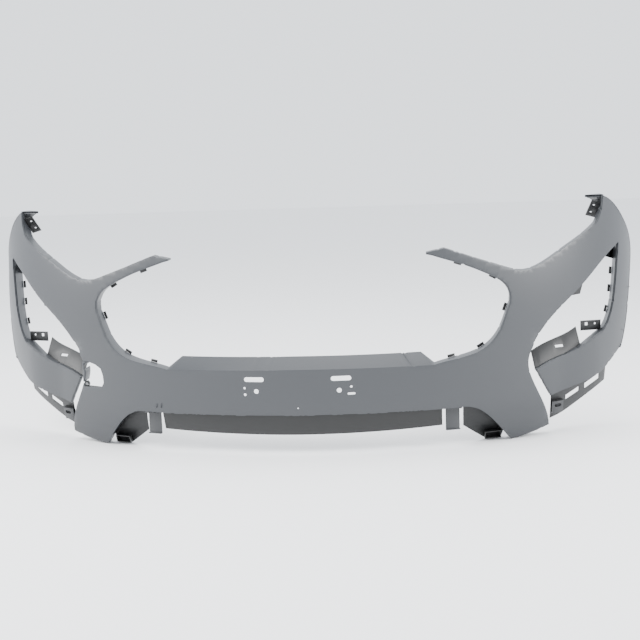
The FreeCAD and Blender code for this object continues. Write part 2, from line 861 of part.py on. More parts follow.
def build_carrier():
    """Black carrier under the side panel, with two long slots."""
    wall = size("bracket_wall")
    spots = steps(622 * STRETCH_X, 800 * STRETCH_X, 10)
    levels = steps(20 * STRETCH_Z, 185 * STRETCH_Z, 8)
    web = slab(levels, lambda z: spots, carrier_point, lambda x, z: carrier_point(x, z, wall))
    outline = [
        styled(line)
        for line in (
            [(626, 32), (626, 112)],
            [(626, 112), (660, 124), (710, 138), (766, 160)],
            [(766, 160), (790, 180)],
            [(790, 180), (784, 108)],
            [(784, 108), (742, 88), (700, 66), (660, 44), (626, 32)],
        )
    ]
    slots = [
        prism(polygon([(668, 80), (704, 97), (704, 109), (668, 92)])),
        prism(polygon([(722, 100), (764, 118), (764, 132), (722, 114)])),
    ]
    return clear_of_fascia(web.common(prism(outline)).cut(slots))


def build_side_mount():
    """Grey mount in front of the carrier, beside the blade, with an oval recess."""
    x, z = 645.0, 66.0
    half_w = size("side_mount_width") / 2
    half_h = size("side_mount_height") / 2
    depth = size("side_mount_depth")
    spots = steps((x - half_w) * STRETCH_X, (x + half_w) * STRETCH_X, 6)
    levels = steps((z - half_h) * STRETCH_Z, (z + half_h) * STRETCH_Z, 5)
    block = slab(
        levels,
        lambda level: spots,
        lambda at_x, at_z: carrier_point(at_x, at_z, -depth),
        lambda at_x, at_z: carrier_point(at_x, at_z, -GAP),
    )
    front = carrier_point(x * STRETCH_X, z * STRETCH_Z, -depth)
    oval = slot_along_y(0, 0, 18.0, 9.0)
    oval.Placement = FreeCAD.Placement(front + V(0, -30, 5), FreeCAD.Rotation())
    return block.cut(oval)


carrier_left = feature("carrier_left", build_carrier())
carrier_right = mirrored("carrier_right", carrier_left)
side_mount_left = feature("side_mount_left", build_side_mount())
side_mount_right = mirrored("side_mount_right", side_mount_left)


# ---------------------------------------------------------------- tow eye frame
def build_tow_frame():
    """Frame with a screw boss behind the tow eye opening, on the car's right."""
    bar = size("tow_bar")
    width = size("tow_hole_width")
    high = size("tow_hole_height")
    half_w = (width / 2 + bar) / STRETCH_X
    half_h = (high / 2 + bar) / STRETCH_Z
    x, z = TOW_SPOT
    near = WALL + 3 * GAP
    far = near + size("tow_frame_depth")
    block = patch((x - half_w, x + half_w), (z - half_h, z + half_h), skin_y, near, far)
    block = block.mirror(V(0, 0, 0), V(1, 0, 0))
    boss_x = -x * STRETCH_X - width / 2 + 5
    boss_z = z * STRETCH_Z - high / 2 + 5
    boss_y = skin_y(boss_x, boss_z) + near + 2
    radius = size("tow_boss_radius")
    boss = Part.makeCylinder(radius + bar / 2, 10, V(boss_x, boss_y, boss_z), V(0, 1, 0))
    bore = Part.makeCylinder(radius, 60, V(boss_x, boss_y - 15, boss_z), V(0, 1, 0))
    return clear_of_fascia(block.cut(tow_opening()).fuse(boss).cut(bore))


tow_frame = feature("tow_frame", build_tow_frame())


# ---------------------------------------------------------------- edge clips
def edge_frame(points, near_point):
    """Place and rotation of a clip behind the rear edge of a return flange."""
    curve = Part.BSplineCurve()
    curve.interpolate([V(x, 0, z) for x, z in styled(points)])
    at = curve.parameter(V(near_point[0] * STRETCH_X, 0, near_point[1] * STRETCH_Z))

    def rear_edge(where):
        spot = curve.value(where)
        return V(spot.x, rear_y(spot.x, spot.z), spot.z)

    step = (curve.LastParameter - curve.FirstParameter) / 60
    along = rear_edge(at + step) - rear_edge(at - step)
    along.normalize()
    tangent = curve.tangent(at)[0]
    into = V(-tangent.z, 0, tangent.x)
    behind = into.cross(along)
    behind.normalize()
    rotation = FreeCAD.Rotation(along, behind, into, "XZY")
    return rear_edge(at) + behind * 2 * GAP, rotation


def edge_clip(name, points, near_point):
    """Spring clip seated on the rear edge of a return flange, reaching into the opening."""
    clip = bound_box(name, "clip_length", "clip_thickness", "clip_reach")
    spot, rotation = edge_frame(points, near_point)
    shift = rotation.multVec(V(-size("clip_length") / 2, 0, 0))
    return place(clip, spot + shift, rotation)


GRILLE_CLIPS = [(392, 458), (478, 418), (507, 340), (446, 247), (372, 226)]
LAMP_CLIPS = [(809, 398), (803, 352), (790, 300)]


def clip_group(name, points, spots):
    """All the clips of one opening on the car's left."""
    return grouped(name, [edge_clip(f"{name}_clip", points, spot) for spot in spots])


grille_clips_left = clip_group("grille_clips_left", GRILLE_EDGE, GRILLE_CLIPS)
grille_clips_right = mirrored("grille_clips_right", grille_clips_left)
lamp_clips_left = clip_group("lamp_clips_left", STRIP_EDGE, LAMP_CLIPS)
lamp_clips_right = mirrored("lamp_clips_right", lamp_clips_left)


# ---------------------------------------------------------------- checks and export
NODES = [
    fascia, lower_lip, lip_rivets, lip_bracket_left, lip_bracket_right,
    corner_wall_left, corner_wall_right, corner_box_left, corner_box_right,
    wing_bracket_left, wing_bracket_right, lamp_shelf_left, lamp_shelf_right,
    lamp_plate_left, lamp_plate_right, upper_gusset_left, upper_gusset_right,
    mid_gusset_left, mid_gusset_right, carrier_left, carrier_right,
    side_mount_left, side_mount_right, tow_frame,
    grille_clips_left, grille_clips_right, lamp_clips_left, lamp_clips_right,
]
doc.recompute()
for item in doc.Objects:
    bad = [state for state in item.State if state in ("Invalid", "Error")]
    assert not bad, f"{item.Label}: {bad}"
for node in NODES:
    shape = node.Shape
    assert not shape.isNull() and shape.isValid(), f"{node.Label}: bad shape"
    assert shape.Solids, f"{node.Label}: no solid"
for node in NODES:
    node.Shape.exportStep(f"parts/{node.Label}.step")
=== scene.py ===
"""Looks of the front bumper cover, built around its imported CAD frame."""

from __future__ import annotations

import json
import logging
import math
from dataclasses import dataclass
from enum import IntEnum
from typing import Callable, Iterable, Sequence

import bmesh
import bpy
import numpy as np
from mathutils import Matrix, Vector

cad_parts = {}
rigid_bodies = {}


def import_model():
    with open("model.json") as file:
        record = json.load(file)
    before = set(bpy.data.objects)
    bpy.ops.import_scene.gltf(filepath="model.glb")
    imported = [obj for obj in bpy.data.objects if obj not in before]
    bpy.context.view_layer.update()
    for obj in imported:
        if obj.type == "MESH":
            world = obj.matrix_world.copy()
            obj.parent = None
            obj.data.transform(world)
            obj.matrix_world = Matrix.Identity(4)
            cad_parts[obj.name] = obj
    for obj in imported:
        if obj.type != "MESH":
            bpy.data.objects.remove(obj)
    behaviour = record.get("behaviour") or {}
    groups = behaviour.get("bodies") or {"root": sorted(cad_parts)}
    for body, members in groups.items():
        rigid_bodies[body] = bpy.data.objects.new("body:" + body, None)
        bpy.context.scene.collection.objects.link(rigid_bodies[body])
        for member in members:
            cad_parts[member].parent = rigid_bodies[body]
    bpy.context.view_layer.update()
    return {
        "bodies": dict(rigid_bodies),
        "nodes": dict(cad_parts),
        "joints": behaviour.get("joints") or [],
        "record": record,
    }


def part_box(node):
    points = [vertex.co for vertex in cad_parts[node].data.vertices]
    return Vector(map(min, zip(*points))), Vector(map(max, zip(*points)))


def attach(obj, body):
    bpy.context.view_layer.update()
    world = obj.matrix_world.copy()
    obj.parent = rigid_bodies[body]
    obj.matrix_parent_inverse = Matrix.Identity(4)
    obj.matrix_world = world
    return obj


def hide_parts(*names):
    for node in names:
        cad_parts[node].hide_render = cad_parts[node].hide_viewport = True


LOG = logging.getLogger("bumper_cover")
Point = tuple[float, float]
Place = tuple[float, float, float]
MM = 0.001
DEPTH = 496.0  # of the cover, in millimetres
BASE = 4.0  # height of the cover's lowest level in its own styling points
CURVE_END = 0.99999  # share of the plan curve that is used, as its very end is square to the front
BISECT_ROUNDS = 30
REAR_INNER = 300.0  # the flanges' rear line stays farther from the middle than this
SETTLE_ROUNDS = 6  # rounds that find where the set back panel meets a point
SEARCH_SPAN = 90.0  # how far behind a point its flange can start


# ---------------------------------------------------------------- shader building
@dataclass(frozen=True)
class Grain:
    """A shared effect group: fine moulded grain as a height, and a slow wander as a mask.

    Attributes:
        name: name of the node group.
        scale: scale of the fine noise.
        detail: octaves of the fine noise.
        cell_scale: scale of the grain's cells, as a share of the fine noise's.
        cell_weight: weight of the cells in the height.
        wander_scale: scale of the slow wander.
        wander_detail: octaves of the slow wander.
    """

    name: str
    scale: float
    detail: float
    cell_scale: float = 0.8
    cell_weight: float = 0.5
    wander_scale: float = 7.0
    wander_detail: float = 4.0

    def build(self) -> bpy.types.NodeTree:
        """Makes the group once.

        Returns:
            The node group with outputs Height and Spread.
        """
        known = bpy.data.node_groups.get(self.name)
        if known:
            return known
        tree = bpy.data.node_groups.new(self.name, "ShaderNodeTree")
        tree.interface.new_socket("Height", in_out="OUTPUT", socket_type="NodeSocketFloat")
        tree.interface.new_socket("Spread", in_out="OUTPUT", socket_type="NodeSocketFloat")
        nodes, links = tree.nodes, tree.links
        place = nodes.new("ShaderNodeTexCoord")
        fine = nodes.new("ShaderNodeTexNoise")
        fine.inputs["Scale"].default_value = self.scale
        fine.inputs["Detail"].default_value = self.detail
        cells = nodes.new("ShaderNodeTexVoronoi")
        cells.inputs["Scale"].default_value = self.scale * self.cell_scale
        mix = nodes.new("ShaderNodeMath")
        mix.operation = "MULTIPLY_ADD"
        mix.inputs[1].default_value = self.cell_weight
        wander = nodes.new("ShaderNodeTexNoise")
        wander.inputs["Scale"].default_value = self.wander_scale
        wander.inputs["Detail"].default_value = self.wander_detail
        out = nodes.new("NodeGroupOutput")
        for texture in (fine, cells, wander):
            links.new(place.outputs["Object"], texture.inputs["Vector"])
        links.new(cells.outputs["Distance"], mix.inputs[0])
        links.new(fine.outputs["Fac"], mix.inputs[2])
        links.new(mix.outputs[0], out.inputs["Height"])
        links.new(wander.outputs["Fac"], out.inputs["Spread"])
        return tree


@dataclass(frozen=True)
class Finish:
    """A moulded plastic finish, bare or primed.

    Attributes:
        name: material name.
        color: base colour, linear.
        roughness: middle roughness.
        spread: how far the roughness wanders over the surface.
        tint: share by which the colour wanders.
        grain: shared grain effect.
        bump: height of the grain in metres.
        coat: clear top coat weight.
        coat_roughness: roughness of the top coat.
        bump_strength: strength of the grain.
    """

    name: str
    color: tuple[float, float, float]
    roughness: float
    spread: float
    tint: float
    grain: Grain
    bump: float
    coat: float = 0.0
    coat_roughness: float = 0.28
    bump_strength: float = 0.5

    def build(self) -> bpy.types.Material:
        """Makes the material.

        Returns:
            A procedural material in object coordinates.
        """
        material = bpy.data.materials.new(self.name)
        material.use_nodes = True
        nodes, links = material.node_tree.nodes, material.node_tree.links
        shader = nodes["Principled BSDF"]
        shader.inputs["Coat Weight"].default_value = self.coat
        shader.inputs["Coat Roughness"].default_value = self.coat_roughness
        effect = nodes.new("ShaderNodeGroup")
        effect.node_tree = self.grain.build()
        rough = nodes.new("ShaderNodeMapRange")
        rough.inputs["To Min"].default_value = self.roughness - self.spread
        rough.inputs["To Max"].default_value = self.roughness + self.spread
        shade = nodes.new("ShaderNodeMapRange")
        shade.inputs["To Min"].default_value = 1.0 - self.tint
        shade.inputs["To Max"].default_value = 1.0 + self.tint
        color = nodes.new("ShaderNodeVectorMath")
        color.operation = "SCALE"
        color.inputs[0].default_value = self.color
        bump = nodes.new("ShaderNodeBump")
        bump.inputs["Distance"].default_value = self.bump
        bump.inputs["Strength"].default_value = self.bump_strength
        links.new(effect.outputs["Spread"], rough.inputs["Value"])
        links.new(effect.outputs["Spread"], shade.inputs["Value"])
        links.new(shade.outputs["Result"], color.inputs["Scale"])
        links.new(color.outputs["Vector"], shader.inputs["Base Color"])
        links.new(rough.outputs["Result"], shader.inputs["Roughness"])
        links.new(effect.outputs["Height"], bump.inputs["Height"])
        links.new(bump.outputs["Normal"], shader.inputs["Normal"])
        return material


PRIMER_GRAIN = Grain("primer_grain", 900.0, 2.0)
MOULD_GRAIN = Grain("mould_grain", 420.0, 3.0)
FINISH_LIST = (
    Finish("primer", (0.031, 0.0335, 0.0375), 0.40, 0.03, 0.02, PRIMER_GRAIN, 0.00002, 0.12),
    Finish("lip_plastic", (0.0095, 0.0095, 0.0093), 0.62, 0.05, 0.10, MOULD_GRAIN, 0.00015),
    Finish("black_plastic", (0.0085, 0.0088, 0.0092), 0.50, 0.05, 0.08, MOULD_GRAIN, 0.00008),
    Finish("grey_plastic", (0.032, 0.033, 0.035), 0.50, 0.04, 0.05, MOULD_GRAIN, 0.00006),
    Finish("clip_plastic", (0.0075, 0.0075, 0.008), 0.42, 0.04, 0.05, MOULD_GRAIN, 0.00005),
    Finish("rivet_plastic", (0.014, 0.014, 0.015), 0.38, 0.04, 0.05, MOULD_GRAIN, 0.00005),
)


# ---------------------------------------------------------------- the cover's form
# The outline of one half, stretch by stretch, as (x, z) in millimetres; REAR_LINE is (y, z).
SHELF_MIDDLE = (0, 220)
NOTCH = (329, 218)
ARM_END = (330, 480)
GRILLE = [NOTCH, (400, 232), (452, 250), (486, 284), (508, 335)]
GRILLE += [(517, 370), (506, 399), (470, 425), (400, 456), ARM_END]
TOP = [(357, 496), (430, 469), (500, 444), (553, 431), (600, 444), (660, 477), (714, 507), (750, 532)]
WING = [(750, 532), (765, 560), (772, 602.5)]
REAR_LINE = [(356, 604), (400, 577), (440, 536), (480, 492), (496, 455)]
REAR_LINE += [(490, 430), (470, 390), (430, 290), (385, 199)]
PANEL_END = [(828, 203), (801, 179), (768, 151)]
PANEL_LOW = [(768, 151), (710, 128), (660, 115), (622, 104)]
CREASE = [(583, 177), (640, 200), (690, 215), (730, 236), (766, 254)]
STRIP = [(766, 254), (793, 305), (805, 364), (812, 420), (818, 474)]
LAMP = [(818, 474), (770, 438), (716, 388), (650, 334), (600, 284), (573, 238)]
BLADE = [(573, 238), (563, 190), (576, 150), (600, 97), (618, 31)]
ARCH = [(518, 4), (500, 30), (476, 62), (440, 96), (387, 107)]


@dataclass(frozen=True)
class Form:
    """The cover's surfaces, in millimetres from the skin's foremost point, bottom at BASE.

    Attributes:
        half: half width of the plan curve.
        sweep: depth of the plan curve.
        power: power of the superellipse.
        wall: wall thickness.
        top: height of the wings' tips.
        lean, lean_start: how far the top leans back, and from which height.
        tuck, tuck_start: how far the bottom tucks under, and from which height.
        panel_recess: how far the side panels are set back beside the blades.
        panel_ramp: width of the slope from a blade down to its panel.
        panel_fade_x, panel_fade_z: where the setback dies out, outwards and upwards.
        edge_return: depth of the return flanges.
        grille_extra, grille_spot, grille_reach: deeper flanges beside the grille opening.
    """

    half: float = 884.0
    sweep: float = 562.0
    power: float = 1.87
    wall: float = 3.0
    top: float = 600.0
    lean: float = 46.0
    lean_start: float = 240.0
    tuck: float = 44.0
    tuck_start: float = 140.0
    panel_recess: float = 20.0
    panel_ramp: float = 16.0
    panel_fade_x: Point = (760.0, 650.0)
    panel_fade_z: Point = (285.0, 225.0)
    edge_return: float = 34.0
    grille_extra: float = 18.0
    grille_spot: Point = (450.0, 300.0)
    grille_reach: Point = (100.0, 110.0)

    def plan(self, x: float) -> float:
        """Sweep of the surface behind its nose at a distance x from the middle."""
        share = min(abs(x) / self.half, CURVE_END)
        return self.sweep * (1 - (1 - share**self.power) ** (1 / self.power))

    def skin(self, x: float, z: float) -> float:
        """Depth of the plain surface: plan sweep, lean at the top and tuck at the bottom."""
        top = max(0.0, (z - self.lean_start) / (self.top - self.lean_start))
        low = max(0.0, (self.tuck_start - z) / self.tuck_start)
        return self.plan(x) + self.lean * top**2 + self.tuck * low**2

    def slope(self, x: float) -> float:
        """Slope of the plan curve at x, over a step of 1 mm."""
        return self.plan(abs(x) + 0.5) - self.plan(max(abs(x) - 0.5, 0))

    def recess(self, x: float, z: float) -> float:
        """How far the side panel is set back beside the blade."""
        edge = float(np.interp(z, [p[1] for p in BLADE[::-1]], [p[0] for p in BLADE[::-1]]))
        ramp = fade(x, edge + 1, edge + 1 + self.panel_ramp)
        return self.panel_recess * ramp * fade(x, *self.panel_fade_x) * fade(z, *self.panel_fade_z)

    def outer(self, x: float, z: float) -> float:
        """Depth of the outer surface at (x, z), side panel included."""
        spot = x
        for _ in range(SETTLE_ROUNDS):
            slope = self.slope(spot)
            spot = x + self.recess(spot, z) * slope / math.hypot(slope, 1)
        slope = self.slope(spot)
        return self.skin(spot, z) + self.recess(spot, z) / math.hypot(slope, 1)

    def return_depth(self, x: float, z: float) -> float:
        """Depth of the return flanges behind the surface."""
        across = (x - self.grille_spot[0]) / self.grille_reach[0]
        up = (z - self.grille_spot[1]) / self.grille_reach[1]
        return self.edge_return + self.grille_extra * math.exp(-(across**2) - up**2)

    def rear(self, x: float, z: float) -> float:
        """Depth at which a return flange ends at (x, z)."""
        def shifted(spot: float) -> float:
            """Distance from the middle at which a flange that starts at spot ends."""
            slope = self.slope(spot)
            return spot - self.return_depth(spot, z) * slope / math.hypot(slope, 1)

        start = bisect(lambda spot: shifted(spot) - x, x, min(x + SEARCH_SPAN, self.half - 1))
        return self.skin(start, z) + self.return_depth(start, z) / math.hypot(self.slope(start), 1)

    def skin_x(self, y: float, z: float) -> float:
        """Distance from the middle at which the surface is y deep."""
        return bisect(lambda x: self.skin(x, z) - y, 0, self.half)

    def rear_x(self, y: float, z: float) -> float:
        """Distance from the middle at which the flanges' end surface is y deep."""
        return bisect(lambda x: self.rear(x, z) - y, REAR_INNER, self.half - 2)


def fade(value: float, start: float, end: float) -> float:
    """Smooth rise from 0 at start to 1 at end."""
    share = min(1.0, max(0.0, (value - start) / (end - start)))
    return share * share * (3 - 2 * share)


def bisect(rising: Callable[[float], float], low: float, high: float) -> float:
    """Where a rising function is zero, between low and high."""
    for _ in range(BISECT_ROUNDS):
        middle = (low + high) / 2
        low, high = (middle, high) if rising(middle) < 0 else (low, middle)
    return (low + high) / 2


def through(points: Sequence[Point], spacing: float) -> list[Point]:
    """Points along the smooth curve that passes through the given ones.

    Args:
        points: at least two points; two give a straight line.
        spacing: about how far apart the results are.

    Returns:
        The sampled curve, ends included.
    """
    given = np.asarray(points, float)
    marks = np.concatenate([[0.0], np.cumsum(np.linalg.norm(np.diff(given, axis=0), axis=1))])
    count = len(given)
    samples = np.linspace(0.0, marks[-1], max(1, round(marks[-1] / spacing)) + 1)
    if count == 2:
        share = samples[:, None] / marks[-1]
        return [tuple(p) for p in given[0] * (1 - share) + given[1] * share]
    degree = min(3, count - 1)
    system, known = np.zeros((count, count)), np.zeros((count, 2))
    for row, part in ((0, slice(0, degree + 1)), (count - 1, slice(count - degree - 1, count))):
        system[row, row] = 1
        for k in range(2):
            fit = np.polyder(np.polyfit(marks[part], given[part, k], degree))
            known[row, k] = np.polyval(fit, marks[row])
    gaps = np.diff(marks)
    for i in range(1, count - 1):
        system[i, i - 1 : i + 2] = gaps[i], 2 * (gaps[i - 1] + gaps[i]), gaps[i - 1]
        before = gaps[i] * (given[i] - given[i - 1]) / gaps[i - 1]
        after = gaps[i - 1] * (given[i + 1] - given[i]) / gaps[i]
        known[i] = 3 * (before + after)
    slopes = np.linalg.solve(system, known)
    at = np.clip(np.searchsorted(marks, samples, side="right") - 1, 0, count - 2)
    gap = gaps[at][:, None]
    t = (samples - marks[at])[:, None] / gap
    curve = (
        (2 * t**3 - 3 * t**2 + 1) * given[at]
        + (t**3 - 2 * t**2 + t) * gap * slopes[at]
        + (3 * t**2 - 2 * t**3) * given[at + 1]
        + (t**3 - t**2) * gap * slopes[at + 1]
    )
    return [tuple(p) for p in curve]


class Edge(IntEnum):
    """What happens at a stretch of the skin's outline."""

    RETURN = 1
    SHELF = 2
    REAR = 3
    MIDDLE = 4
    HOLE = 5


def ring(x: float, z: float, radius: float, stretch: float = 0.0, count: int = 20) -> list[Point]:
    """Closed round or slotted hole, its ends stretch apart to each side."""
    turns = [2 * math.pi * k / count for k in range(count)]
    loop = []
    for turn in turns:
        end = math.copysign(stretch, math.cos(turn))
        loop.append((x + end + radius * math.cos(turn), z + radius * math.sin(turn)))
    return loop


TOW = [(567, 160), (567, 224), (546, 224), (529, 219)]
TOW += [(514.2, 209.6), (508.6, 193), (507, 174.4), (514.2, 160)]
SHARED_HOLES = [ring(100.5, 168, 6), ring(105.5, 197, 6, 18.5, 24), ring(129.5, 176, 3)]
LEFT_HOLES = SHARED_HOLES + [ring(129.5, 159, 3, 6.5, 16)]
RIGHT_HOLES = SHARED_HOLES + [ring(128.5, 160, 3.5), TOW]
MIDDLE_HOLE = [(0, 124), (1.414, 124.6), (2, 126), (1.414, 127.4), (0, 128)]  # half of a small round hole


@dataclass
class Fascia:
    """The one-piece moulding: skin, side panels, return flanges and centre shelf.

    Attributes:
        form: the surfaces that it lies on.
        cell: size of the skin's cells.
        cell_start: shift of the cells, which keeps them off the outline's own points.
        edge_spacing: distance between points of the outline.
        merge: points of the skin that are closer than this become one.
        join: points of the two halves that are closer than this become one.
        tiny: lengths under this are taken as nothing.
        shelf_depth, shelf_rise: how far the shelf's rear edge lies behind and above its front.
        shelf_half: half length of the shelf's rear edge.
        edge_radius: rounding of the edges.
        round_above: angle above which an edge is rounded, in degrees.
        crease_angle: angle above which an edge stays sharp, in degrees.
    """

    form: Form
    cell: float = 12.0
    cell_start: float = 0.37
    edge_spacing: float = 6.0
    merge: float = 2.0
    join: float = 0.3
    tiny: float = 0.05
    shelf_depth: float = 49.5
    shelf_rise: float = 25.0
    shelf_half: float = 302.0
    edge_radius: float = 2.4
    round_above: float = 42.0
    crease_angle: float = 38.0

    def outline(self) -> list[tuple[Edge, list[Point]]]:
        """Closed outline of one half, as stretches that follow each other."""
        rear = [(self.form.skin_x(y, z), z) for y, z in through(REAR_LINE, self.edge_spacing)]
        rear[0], rear[-1] = WING[-1], PANEL_END[0]
        upper = [
            (Edge.SHELF, [SHELF_MIDDLE, NOTCH]),
            (Edge.RETURN, GRILLE),
            (Edge.RETURN, [ARM_END, (314, 484)]),
            (Edge.RETURN, [(314, 484), (314, 488)]),
            (Edge.RETURN, [(314, 488), (357, 496)]),
            (Edge.RETURN, TOP),
            (Edge.RETURN, WING),
        ]
        lower = [
            (Edge.RETURN, PANEL_END),
            (Edge.RETURN, PANEL_LOW),
            (Edge.RETURN, [(622, 104), (583, 177)]),
            (Edge.RETURN, CREASE),
            (Edge.RETURN, STRIP),
            (Edge.RETURN, LAMP),
            (Edge.RETURN, BLADE),
            (Edge.RETURN, [(618, 31), (580, 18), (518, 4)]),
            (Edge.RETURN, ARCH),
            (Edge.RETURN, [(387, 107), (0, 107)]),
            (Edge.MIDDLE, [(0, 107), MIDDLE_HOLE[0]]),
        ]
        sample = [(kind, through(line, self.edge_spacing)) for kind, line in upper]
        sample.append((Edge.REAR, rear))
        sample += [(kind, through(line, self.edge_spacing)) for kind, line in lower]
        sample.append((Edge.HOLE, MIDDLE_HOLE))
        sample.append((Edge.MIDDLE, [MIDDLE_HOLE[-1], SHELF_MIDDLE]))
        return sample

    def flat_half(self, holes: Sequence[list[Point]]) -> bmesh.types.BMesh:
        """One half's skin laid flat, cut into cells.

        Args:
            holes: closed loops left open.

        Returns:
            A mesh in the XY plane, z of the cover in Y, with an edge layer of kinds.
        """
        flat = bmesh.new()
        kinds = flat.edges.layers.int.new("kind")
        loop: list[tuple[Edge, Point]] = []
        for kind, points in self.outline():
            loop += [(kind, point) for point in points[:-1]]
        self._add_loop(flat, kinds, loop)
        for hole in holes:
            self._add_loop(flat, kinds, [(Edge.HOLE, point) for point in hole])
        bmesh.ops.triangle_fill(flat, use_beauty=True, edges=flat.edges[:], normal=(0, 0, 1))
        for normal, last in ((Vector((1, 0, 0)), self.form.half), (Vector((0, 1, 0)), self.form.top)):
            for k in range(1, int(last / self.cell) + 1):
                whole = flat.verts[:] + flat.edges[:] + flat.faces[:]
                spot = normal * (k * self.cell + self.cell_start)
                bmesh.ops.bisect_plane(flat, geom=whole, dist=self.tiny, plane_co=spot, plane_no=normal)
        loose = [v for v in flat.verts if all(e[kinds] < Edge.MIDDLE for e in v.link_edges)]
        bmesh.ops.remove_doubles(flat, verts=loose, dist=self.merge)
        bmesh.ops.dissolve_degenerate(flat, dist=self.merge / 10, edges=flat.edges[:])
        for edge in flat.edges:
            if edge.is_boundary and edge[kinds] == 0:
                edge[kinds] = max(e[kinds] for v in edge.verts for e in v.link_edges if e.is_boundary)
        return flat

    @staticmethod
    def _add_loop(flat: bmesh.types.BMesh, kinds: object, loop: Sequence[tuple[Edge, Point]]) -> None:
        """Adds a closed loop of edges with their kinds."""
        verts = [flat.verts.new((x, z, 0)) for _, (x, z) in loop]
        for k, (kind, _) in enumerate(loop):
            edge = flat.edges.new((verts[k], verts[(k + 1) % len(verts)]))
            edge[kinds] = int(kind)

    def _flange_end(self, kind: Edge, x: float, z: float) -> Vector:
        """Where the flange that starts at an outline point ends, in millimetres."""
        if kind == Edge.SHELF:
            rear = self.form.skin(x, z) + self.shelf_depth
            return Vector((x * self.shelf_half / NOTCH[0], rear, z + self.shelf_rise))
        if kind == Edge.REAR:
            y = self.form.skin(x, z)
            return Vector((self.form.rear_x(y, z), y, z))
        return Vector((x, self.form.rear(x, z), z))

    def half(self, side: int, holes: Sequence[list[Point]]) -> bmesh.types.BMesh:
        """One half as an open shell in millimetres.

        Args:
            side: 1 for the car's left, -1 for its right.
            holes: closed loops left open in the skin.

        Returns:
            The skin with its flanges and its half of the shelf.
        """
        shell = self.flat_half(holes)
        kinds = shell.edges.layers.int["kind"]
        rims = [e for e in shell.edges if e.is_boundary and 0 < e[kinds] < Edge.MIDDLE]
        kind_at: dict[tuple[float, float], Edge] = {}
        for edge in rims:
            for vert in edge.verts:
                key = (round(vert.co.x, 3), round(vert.co.y, 3))
                kind_at[key] = min(Edge(edge[kinds]), kind_at.get(key, Edge.HOLE))
        made = bmesh.ops.extrude_edge_only(shell, edges=rims)["geom"]
        ends = {item for item in made if isinstance(item, bmesh.types.BMVert)}
        for vert in shell.verts:
            x, z = vert.co.x, vert.co.y
            if vert in ends:
                vert.co = self._flange_end(kind_at[(round(x, 3), round(z, 3))], x, z)
            else:
                vert.co = Vector((x, self.form.outer(x, z), z))
        if side < 0:
            bmesh.ops.scale(shell, vec=(-1, 1, 1), verts=shell.verts[:])
        return shell

    def build(self) -> bpy.types.Object:
        """The finished moulding.

        Returns:
            An object at the origin, in metres.
        """
        whole = bmesh.new()
        for side, holes in ((1, LEFT_HOLES), (-1, RIGHT_HOLES)):
            part = self.half(side, holes)
            mesh = bpy.data.meshes.new("half")
            part.to_mesh(mesh)
            part.free()
            whole.from_mesh(mesh)
            bpy.data.meshes.remove(mesh)
        bmesh.ops.remove_doubles(whole, verts=whole.verts[:], dist=self.join)
        bmesh.ops.dissolve_degenerate(whole, dist=self.tiny, edges=whole.edges[:])
        bmesh.ops.recalc_face_normals(whole, faces=whole.faces[:])
        front = min(whole.faces, key=lambda face: face.calc_center_median().y)
        if front.normal.y > 0:
            bmesh.ops.reverse_faces(whole, faces=whole.faces[:])
        to_row = Matrix.Translation((0, -DEPTH / 2 * MM, -BASE * MM)) @ Matrix.Scale(MM, 4)
        bmesh.ops.transform(whole, matrix=to_row, verts=whole.verts[:])
        mesh = bpy.data.meshes.new("fascia_form")
        whole.to_mesh(mesh)
        whole.free()
        cover = bpy.data.objects.new("fascia_form", mesh)
        bpy.context.scene.collection.objects.link(cover)
        round_edges(cover, self.edge_radius, self.round_above, 3)
        wall = cover.modifiers.new("wall", "SOLIDIFY")
        wall.thickness = self.form.wall * MM
        wall.offset = -1
        wall.use_even_offset = False
        made = baked(cover, "cover_moulding", self.crease_angle)
        low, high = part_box("fascia")
        for vert in made.data.vertices:
            vert.co = [min(max(vert.co[k], low[k]), high[k]) for k in range(3)]
        return made


# ---------------------------------------------------------------- plain pieces
def round_edges(piece: bpy.types.Object, radius: float, above: float, segments: int) -> None:
    """Adds a rounding of the edges to a piece.

    Args:
        piece: the piece.
        radius: width of the rounding in millimetres.
        above: angle in degrees above which an edge is rounded.
        segments: number of faces across the rounding.
    """
    rounding = piece.modifiers.new("rounding", "BEVEL")
    rounding.limit_method = "ANGLE"
    rounding.angle_limit = math.radians(above)
    rounding.width = radius * MM
    rounding.segments = segments


def baked(source: bpy.types.Object, name: str, crease_angle: float) -> bpy.types.Object:
    """Turns an object with modifiers into a plain one with its creases marked.

    Args:
        source: the object, which is removed.
        name: name of the result.
        crease_angle: degrees above which an edge stays sharp.

    Returns:
        The plain object, at the origin.
    """
    evaluated = source.evaluated_get(bpy.context.evaluated_depsgraph_get())
    mesh = bpy.data.meshes.new_from_object(evaluated)
    bpy.data.objects.remove(source)
    work = bmesh.new()
    work.from_mesh(mesh)
    for face in work.faces:
        face.smooth = True
    for edge in work.edges:
        edge.smooth = len(edge.link_faces) == 2 and edge.calc_face_angle(0) < math.radians(crease_angle)
    work.to_mesh(mesh)
    work.free()
    mesh.name = name
    made = bpy.data.objects.new(name, mesh)
    bpy.context.scene.collection.objects.link(made)
    return made


